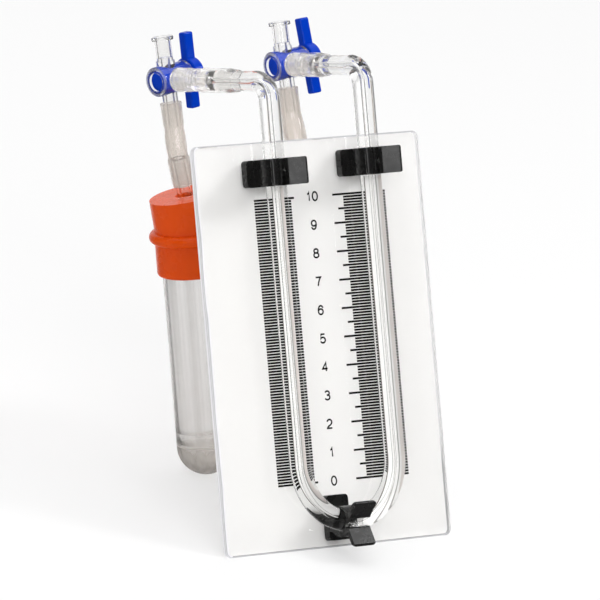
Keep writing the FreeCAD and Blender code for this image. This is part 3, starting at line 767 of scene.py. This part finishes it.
# drop sleeves, a little wider over the ends of the port and of the stem
DROPS = {
    "left": ((-20.64, 45.38, 127.8), (-0.234, -0.123, 0.964)),
    "right": ((25.5, 39.49, 125.54), (-0.110, -0.194, 0.975)),
}
# way down the sleeve and its outer radius there
SLEEVE_SHAPE = {
    "left": [
        (0, 3.78), (0.5, 3.85), (1.2, 3.75), (6.8, 3.7), (8.4, 3.52), (9.6, 3.55), (11.5, 3.72),
        (15.0, 3.72), (17.4, 3.55), (18.4, 3.62), (19.2, 3.95), (24.0, 3.98), (27.0, 3.92), (28.4, 3.7),
    ],
    "right": [
        (0, 3.55), (0.5, 3.66), (1.2, 3.6), (6.8, 3.6), (8.4, 3.62), (9.6, 3.85), (12.0, 4.05),
        (15.0, 4.12), (17.4, 4.1), (18.4, 4.1), (19.2, 4.25), (24.0, 4.38), (27.0, 4.3), (28.4, 4.1),
    ],
}
SLEEVE_START, PORT_TIP, STEM_TOP, SLEEVE_END = 8.3, 17.0, 13.2, 3.4
PORT_GRIP, BORE_TOP, BORE_LOW = 8.7, 2.73, 3.03
PORT_STEPS, CURVE_STEPS, STEM_STEPS, SLEEVE_SIDES = 14, 14, 16, 56


def drop_sleeve(side):
    hub, _, port = STOPCOCKS[side]
    centre = plate_frame(Vector(hub) * 0.001)
    above = plate_frame(Vector(hub) * 0.001 + Vector(port) * 0.001)
    down = -(above - centre).normalized()
    top, normal = (Vector(v) for v in DROPS[side])
    normal.normalize()
    start, port_tip = centre + down * SLEEVE_START, centre + down * PORT_TIP
    stem_top, end = top + normal * STEM_TOP, top + normal * SLEEVE_END
    points = line_points(start, port_tip, PORT_STEPS)
    reach = (stem_top - port_tip).length
    for k in range(1, CURVE_STEPS + 1):
        t = k / CURVE_STEPS
        h0, h1 = 2 * t ** 3 - 3 * t ** 2 + 1, t ** 3 - 2 * t ** 2 + t
        h2, h3 = -2 * t ** 3 + 3 * t ** 2, t ** 3 - t ** 2
        points.append(port_tip * h0 + down * reach * h1 + stem_top * h2 - normal * reach * h3)
    points += line_points(stem_top, end, STEM_STEPS)[1:]
    lengths = [0.0]
    for a, b in zip(points, points[1:]):
        lengths.append(lengths[-1] + (b - a).length)
    shape = SLEEVE_SHAPE[side]
    stretch = shape[-1][0] / lengths[-1]
    stem_from = lengths[PORT_STEPS + CURVE_STEPS]
    outer, inner = [], []
    for i, s in enumerate(lengths):
        at = s * stretch
        for (s0, r0), (s1, r1) in zip(shape, shape[1:]):
            if s0 <= at <= s1 + 1e-6:
                t = (at - s0) / (s1 - s0)
                t = t * t * (3 - 2 * t)
                outer.append(r0 + (r1 - r0) * t)
                break
        t = min(1.0, max(0.0, (s - PORT_GRIP) / (stem_from - PORT_GRIP)))
        inner.append(BORE_TOP + (BORE_LOW - BORE_TOP) * t)
    verts, faces = hollow_sweep(points, outer, inner, SLEEVE_SIDES)
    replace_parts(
        mesh_piece("soft_sleeve_" + side, verts, faces, SILICONE), "drop_sleeve_" + side
    )


for side in DROPS:
    drop_sleeve(side)

# boiling tubes, with the thicker round bottom of blown glass
TUBES = {
    "left": ((-7.5, 63.2, 38.7), (-0.143, -0.194, 0.970)),
    "right": ((35.6, 57.3, 36.05), (-0.110, -0.194, 0.975)),
}


TUBE_R, TUBE_WALL, FOOT_LIFT, TUBE_SEGMENTS, FOOT_STEPS = 10.45, 1.2, 0.7, 128, 24
RIM_HEIGHT = 91.8 - 8.5


def boiling_glass(side):
    foot, axis = (Vector(v) for v in TUBES[side])
    axis.normalize()
    rim, radius, wall, lift, count = RIM_HEIGHT, TUBE_R, TUBE_WALL, FOOT_LIFT, TUBE_SEGMENTS
    outline = [(0.0, -radius)]
    for k in range(1, FOOT_STEPS + 1):
        a = math.radians(90 * k / FOOT_STEPS)
        outline.append((radius * math.sin(a), -radius * math.cos(a)))
    outline += [(radius, rim * k / 10) for k in range(1, 10)]
    outline += [(radius, rim - 0.5), (radius - 0.35, rim - 0.1), (radius - 0.6, rim),
                (radius - wall + 0.25, rim - 0.1), (radius - wall, rim - 0.45)]
    inner = radius - wall
    outline += [(inner, rim * k / 10) for k in range(9, 0, -1)]
    outline += [(inner, 6.4), (inner - 0.12, 6.0), (inner - 0.12, 5.6), (inner, 5.2)]
    outline += [(inner, lift + 1.9), (inner - 0.3, lift + 1.3)]
    outline += [(inner - 0.3, lift + 1.0), (inner, lift + 0.4)]
    for k in range(FOOT_STEPS, 0, -1):
        a = math.radians(90 * k / FOOT_STEPS)
        outline.append((inner * math.sin(a), lift - (inner + 0.1) * math.cos(a)))
    outline.append((0.0, lift - inner - 0.1))
    verts, faces, rings = [], [], []
    for r, t in outline:
        if r == 0.0:
            rings.append([len(verts)])
            verts.append(Vector((0, 0, t)) * 0.001)
            continue
        ring = []
        for k in range(count):
            a = 2 * math.pi * k / count
            ring.append(len(verts))
            verts.append(Vector((r * math.cos(a), r * math.sin(a), t)) * 0.001)
        rings.append(ring)
    for a, b in zip(rings, rings[1:]):
        for k in range(count):
            n = (k + 1) % count
            if len(a) == 1:
                faces.append((a[0], b[n], b[k]))
            elif len(b) == 1:
                faces.append((a[k], a[n], b[0]))
            else:
                faces.append((a[k], a[n], b[n], b[k]))
    glass = mesh_piece("boiling_glass_" + side, verts, faces, TEST_GLASS)
    lean = Vector((0, 0, 1)).rotation_difference(turn(axis)).to_matrix().to_4x4()
    glass.matrix_world = Matrix.Translation(world(foot)) @ lean
    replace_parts(glass, "boiling_tube_" + side)


for side in TUBES:
    boiling_glass(side)

# the CAD nodes' own finishes; the clip screws' darker steel is painted shade
FINISH = {
    "clip_left": BLACK, "clip_right": BLACK, "clip_bottom": BLACK,
    "clip_screws": SHADED_STEEL, "clip_nuts": STEEL,
}
for side in ("left", "right"):
    FINISH["stopcock_plug_" + side] = BLUE
    FINISH["lock_collar_" + side] = SOFT_PLASTIC
    FINISH["hose_adapter_" + side] = SOFT_PLASTIC
    FINISH["arm_sleeve_" + side] = ARM_SILICONE
    FINISH["glass_stem_" + side] = GLASS
    FINISH["stopper_" + side] = ORANGE
for name, material in FINISH.items():
    mesh = frame["nodes"][name].data
    mesh.materials.clear()
    mesh.materials.append(material)

# floor, light and camera
FLOOR_GLOW, FLOOR_SIDES, FLOOR_WHITE = 0.5, 0.18, 0.89
# bent and mirrored rays see a darker floor away from this azimuth, in degrees and cosines
AHEAD, AHEAD_FROM, AHEAD_TO = 34, 0.90, 0.62
FLOOR, nodes, links = new_material("floor")
out = nodes.new("ShaderNodeOutputMaterial")
shader = nodes.new("ShaderNodeBsdfDiffuse")
glow = nodes.new("ShaderNodeEmission")
glow.inputs["Color"].default_value = (0.982, 0.982, 0.982, 1)
blend = nodes.new("ShaderNodeMixShader")
path = nodes.new("ShaderNodeLightPath")
seen_by = nodes.new("ShaderNodeMath")
seen_by.operation = "MULTIPLY"
seen_by.inputs[1].default_value = FLOOR_GLOW
links.new(path.outputs["Is Camera Ray"], seen_by.inputs[0])
links.new(seen_by.outputs["Value"], blend.inputs["Fac"])
place = nodes.new("ShaderNodeNewGeometry")
flat = nodes.new("ShaderNodeVectorMath")
flat.operation = "NORMALIZE"
links.new(place.outputs["Position"], flat.inputs[0])
ahead = nodes.new("ShaderNodeVectorMath")
ahead.operation = "DOT_PRODUCT"
ahead.inputs[1].default_value = (math.sin(math.radians(AHEAD)), math.cos(math.radians(AHEAD)), 0)
links.new(flat.outputs["Vector"], ahead.inputs[0])
aside = nodes.new("ShaderNodeMapRange")
aside.interpolation_type = "SMOOTHSTEP"
aside.inputs["From Min"].default_value = AHEAD_FROM
aside.inputs["From Max"].default_value = AHEAD_TO
links.new(ahead.outputs["Value"], aside.inputs["Value"])
through = nodes.new("ShaderNodeMath")
through.operation = "MAXIMUM"
links.new(path.outputs["Is Glossy Ray"], through.inputs[0])
links.new(path.outputs["Is Transmission Ray"], through.inputs[1])
dim = nodes.new("ShaderNodeMath")
dim.operation = "MULTIPLY"
links.new(aside.outputs["Result"], dim.inputs[0])
links.new(through.outputs["Value"], dim.inputs[1])
floor_colour = nodes.new("ShaderNodeMix")
floor_colour.data_type = "RGBA"
floor_colour.inputs["A"].default_value = (FLOOR_WHITE, FLOOR_WHITE, FLOOR_WHITE, 1)
floor_colour.inputs["B"].default_value = (FLOOR_SIDES, FLOOR_SIDES, FLOOR_SIDES, 1)
links.new(dim.outputs["Value"], floor_colour.inputs["Factor"])
links.new(floor_colour.outputs["Result"], shader.inputs["Color"])
links.new(shader.outputs["BSDF"], blend.inputs[1])
links.new(glow.outputs["Emission"], blend.inputs[2])
links.new(blend.outputs["Shader"], out.inputs["Surface"])
mesh = bpy.data.meshes.new("floor")
mesh.from_pydata([(-2, -2, 0), (2, -2, 0), (2, 2, 0), (-2, 2, 0)], [], [(0, 1, 2, 3)])
mesh.materials.append(FLOOR)
floor = bpy.data.objects.new("floor", mesh)
floor.location = (0, 0, -0.00005)
bpy.context.scene.collection.objects.link(floor)


KEY, TOP, FILL, SIDE, SKY, SWEEP = 13.5, 42, 26, 2.5, 0.12, 0.95
SWEEP_AZIMUTH, SWEEP_RISE, SWEEP_FROM, SWEEP_TO = 38, 0.15, 0.6, 0.85


def softbox(name, place, aim, width, height, power):
    lamp = bpy.data.lights.new(name, "AREA")
    lamp.shape = "RECTANGLE"
    lamp.size = width
    lamp.size_y = height
    lamp.energy = power
    obj = bpy.data.objects.new(name, lamp)
    bpy.context.scene.collection.objects.link(obj)
    obj.location = place
    obj.rotation_mode = "QUATERNION"
    obj.rotation_quaternion = (Vector(aim) - Vector(place)).to_track_quat("-Z", "Y")
    obj.visible_camera = False


softbox("key", (1.5, -1.02, 1.62), (0, 0, 0.05), 0.6, 0.6, KEY)
softbox("top", (-0.1, 0.1, 2.0), (0, 0.1, 0), 3.0, 3.0, TOP)
softbox("front", (-0.9, -2.0, 1.2), (0, 0, 0.08), 1.6, 1.2, FILL)
softbox("side", (-1.85, 0.8, 0.8), (0, 0, 0.08), 1.2, 1.4, SIDE)

sky = bpy.data.worlds.new("sky")
bpy.context.scene.world = sky
sky.use_nodes = True
nodes, links = sky.node_tree.nodes, sky.node_tree.links
nodes.clear()
out = nodes.new("ShaderNodeOutputWorld")
seen = nodes.new("ShaderNodeBackground")
seen.inputs["Color"].default_value = (0.97, 0.97, 0.97, 1)
around = nodes.new("ShaderNodeBackground")
around.inputs["Color"].default_value = (1, 1, 1, 1)
heading = nodes.new("ShaderNodeTexCoord")
behind = nodes.new("ShaderNodeVectorMath")
behind.operation = "DOT_PRODUCT"
heading_x, heading_y = math.sin(math.radians(SWEEP_AZIMUTH)), math.cos(math.radians(SWEEP_AZIMUTH))
behind.inputs[1].default_value = (heading_x, heading_y, SWEEP_RISE)
links.new(heading.outputs["Generated"], behind.inputs[0])
sweep = nodes.new("ShaderNodeMapRange")
sweep.interpolation_type = "SMOOTHSTEP"
sweep.inputs["From Min"].default_value = SWEEP_FROM
sweep.inputs["From Max"].default_value = SWEEP_TO
sweep.inputs["To Min"].default_value = SKY
sweep.inputs["To Max"].default_value = SWEEP
links.new(behind.outputs["Value"], sweep.inputs["Value"])
links.new(sweep.outputs["Result"], around.inputs["Strength"])
path = nodes.new("ShaderNodeLightPath")
mix = nodes.new("ShaderNodeMixShader")
links.new(path.outputs["Is Camera Ray"], mix.inputs["Fac"])
links.new(around.outputs["Background"], mix.inputs[1])
links.new(seen.outputs["Background"], mix.inputs[2])
links.new(mix.outputs["Shader"], out.inputs["Surface"])
bpy.context.scene.view_settings.view_transform = "Standard"

AZIMUTH, ELEVATION, ROLL = math.radians(38.0), math.radians(0.525), math.radians(4.86)
DISTANCE, SCALE_PX, AIM_Z = 3500.0, 2.853, 72
PICTURE, SENSOR, MIDDLE_X, MIDDLE_Y = 600.0, 36.0, 324.061, 341.817
level = math.cos(ELEVATION)
back = Vector((-math.sin(AZIMUTH) * level, -math.cos(AZIMUTH) * level, math.sin(ELEVATION)))
right = Vector((math.cos(AZIMUTH), -math.sin(AZIMUTH), 0))
up = back.cross(right)
right, up = right * math.cos(ROLL) - up * math.sin(ROLL), right * math.sin(ROLL) + up * math.cos(ROLL)
place = Vector((0, 0, AIM_Z)) + back * DISTANCE
focal_px = SCALE_PX * DISTANCE
# turn the view a little so that the picture's middle needs no lens shift
aside_px, above_px = PICTURE / 2 - MIDDLE_X, MIDDLE_Y - PICTURE / 2
look = (back * -focal_px + right * aside_px + up * above_px).normalized()
right = (right - look * right.dot(look)).normalized()
up = right.cross(look)
camera = bpy.data.cameras.new("camera")
camera.sensor_width = SENSOR
camera.lens = focal_px * SENSOR / PICTURE
camera.clip_end = 50.0
eye = bpy.data.objects.new("camera", camera)
bpy.context.scene.collection.objects.link(eye)
r, u, b = turn(right), turn(up), turn(-look)
eye.matrix_world = Matrix.Translation(world(place)) @ Matrix(
    ((r.x, u.x, b.x), (r.y, u.y, b.y), (r.z, u.z, b.z))
).to_4x4()
bpy.context.scene.camera = eye
